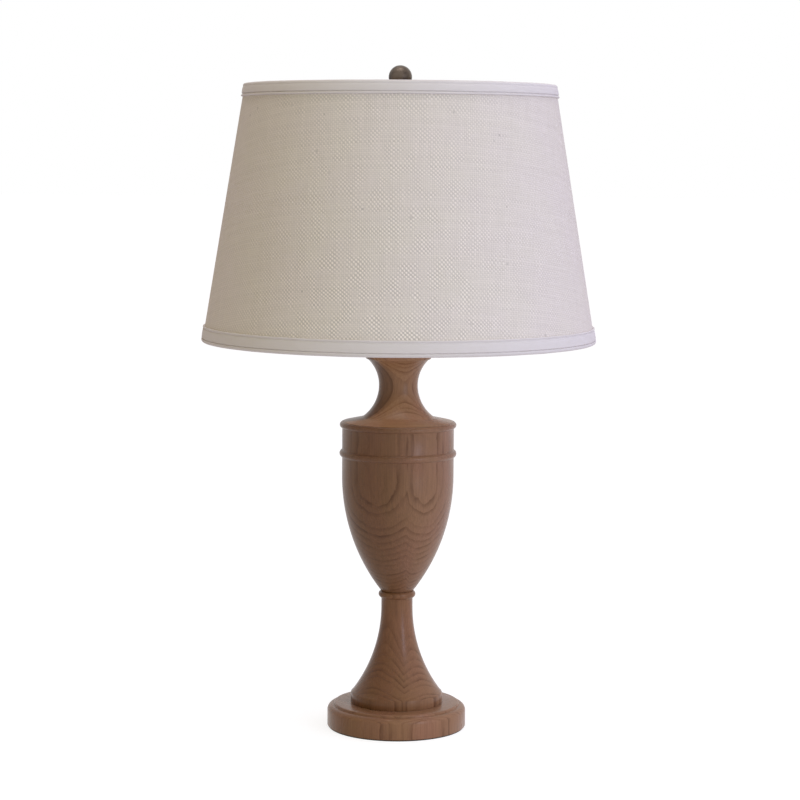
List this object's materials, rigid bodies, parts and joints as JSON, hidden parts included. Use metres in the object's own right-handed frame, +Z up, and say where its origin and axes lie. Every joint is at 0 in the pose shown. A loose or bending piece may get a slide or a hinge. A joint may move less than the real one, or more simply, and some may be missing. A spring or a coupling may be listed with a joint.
{
  "type": "column table lamp",
  "caption": "Table lamp with a turned wooden urn base, a turn-knob socket, a wire harp and a cloth-covered empire shade held by a ball finial.",
  "frame": {"origin": "middle of the underside, on the surface the lamp stands on", "axes": "+Z up the lamp's axis, +X to the right seen from the front, +Y to the back where a cord enters"},
  "size_m": [0.3858, 0.3858, 0.6517],
  "materials": {
    "turned_wood": "satin lacquer over brown stain",
    "base_felt": "pressed felt",
    "black_bushing": "moulded",
    "cast_weight": "as cast, painted",
    "zinc_steel": "zinc plated",
    "polished_brass": "lacquered",
    "brass_plated_steel": "plated wire",
    "moulded_insulator": "moulded phenolic",
    "terminal_brass": "bare",
    "insulating_card": "pressed card",
    "bulb_metal": "bright",
    "frosted_glass": "frosted",
    "white_wire": "white enamel",
    "shade_lining": "matt white",
    "oatmeal_cloth": "coarse plain weave",
    "shade_tape": "folded woven tape",
    "dark_bronze": "oil-rubbed bronze"
  },
  "bodies": {
    "root": {"felt_pad": "base_felt", "plinth": "turned_wood", "pedestal": "turned_wood", "urn_body": "turned_wood", "neck": "turned_wood", "cord_bushing": "black_bushing", "base_weight": "cast_weight", "base_washer": "zinc_steel", "base_nut": "zinc_steel", "lamp_rod": "zinc_steel", "check_ring": "polished_brass", "clamp_nut": "zinc_steel", "brass_neck": "polished_brass", "harp_saddle": "brass_plated_steel", "socket_cap": "polished_brass", "cap_screw": "zinc_steel", "socket_body": "moulded_insulator", "terminal_screws": "terminal_brass", "centre_contact": "terminal_brass", "screw_shell": "terminal_brass", "socket_liner": "insulating_card", "socket_shell": "polished_brass"},
    "switch_knob": {"switch_knob": "moulded_insulator", "switch_shaft": "zinc_steel"},
    "bulb": {"bulb_contact": "bulb_metal", "bulb_insulator": "moulded_insulator", "bulb_cap": "bulb_metal", "bulb_glass": "frosted_glass"},
    "harp": {"harp_wire": "brass_plated_steel", "harp_collar": "brass_plated_steel"},
    "ferrule_left": {"harp_ferrule_left": "brass_plated_steel"},
    "ferrule_right": {"harp_ferrule_right": "brass_plated_steel"},
    "stud": {"harp_stud": "polished_brass"},
    "shade": {"spider_washer": "white_wire", "spider_arms": "white_wire", "top_ring": "white_wire", "bottom_ring": "white_wire", "shade_liner": "shade_lining", "shade_fabric": "oatmeal_cloth", "top_trim": "shade_tape", "bottom_trim": "shade_tape"},
    "finial": {"finial": "dark_bronze"}
  },
  "joints": [
    {"name": "switch_turn", "type": "hinge", "parent": "root", "child": "switch_knob", "pos_m": [0, -0.025, 0.41865], "axis": [0, -1, 0], "continuous": true},
    {"name": "bulb_unscrew", "type": "slide", "parent": "root", "child": "bulb", "axis": [0, 0, 1], "range_m": [0, 0.03]},
    {"name": "harp_lift", "type": "slide", "parent": "root", "child": "harp", "axis": [0, 0, 1], "range_m": [0, 0.2]},
    {"name": "ferrule_left_slide", "type": "slide", "parent": "harp", "child": "ferrule_left", "axis": [0, 0, 1], "range_m": [0, 0.012]},
    {"name": "ferrule_right_slide", "type": "slide", "parent": "harp", "child": "ferrule_right", "axis": [0, 0, 1], "range_m": [0, 0.012]},
    {"name": "shade_swivel", "type": "hinge", "parent": "harp", "child": "stud", "pos_m": [0, 0, 0.6193], "axis": [0, 0, 1], "continuous": true},
    {"name": "shade_lift", "type": "slide", "parent": "stud", "child": "shade", "axis": [0, 0, 1], "range_m": [0, 0.25]},
    {"name": "finial_unscrew", "type": "slide", "parent": "shade", "child": "finial", "axis": [0, 0, 1], "range_m": [0, 0.025]}
  ]
}
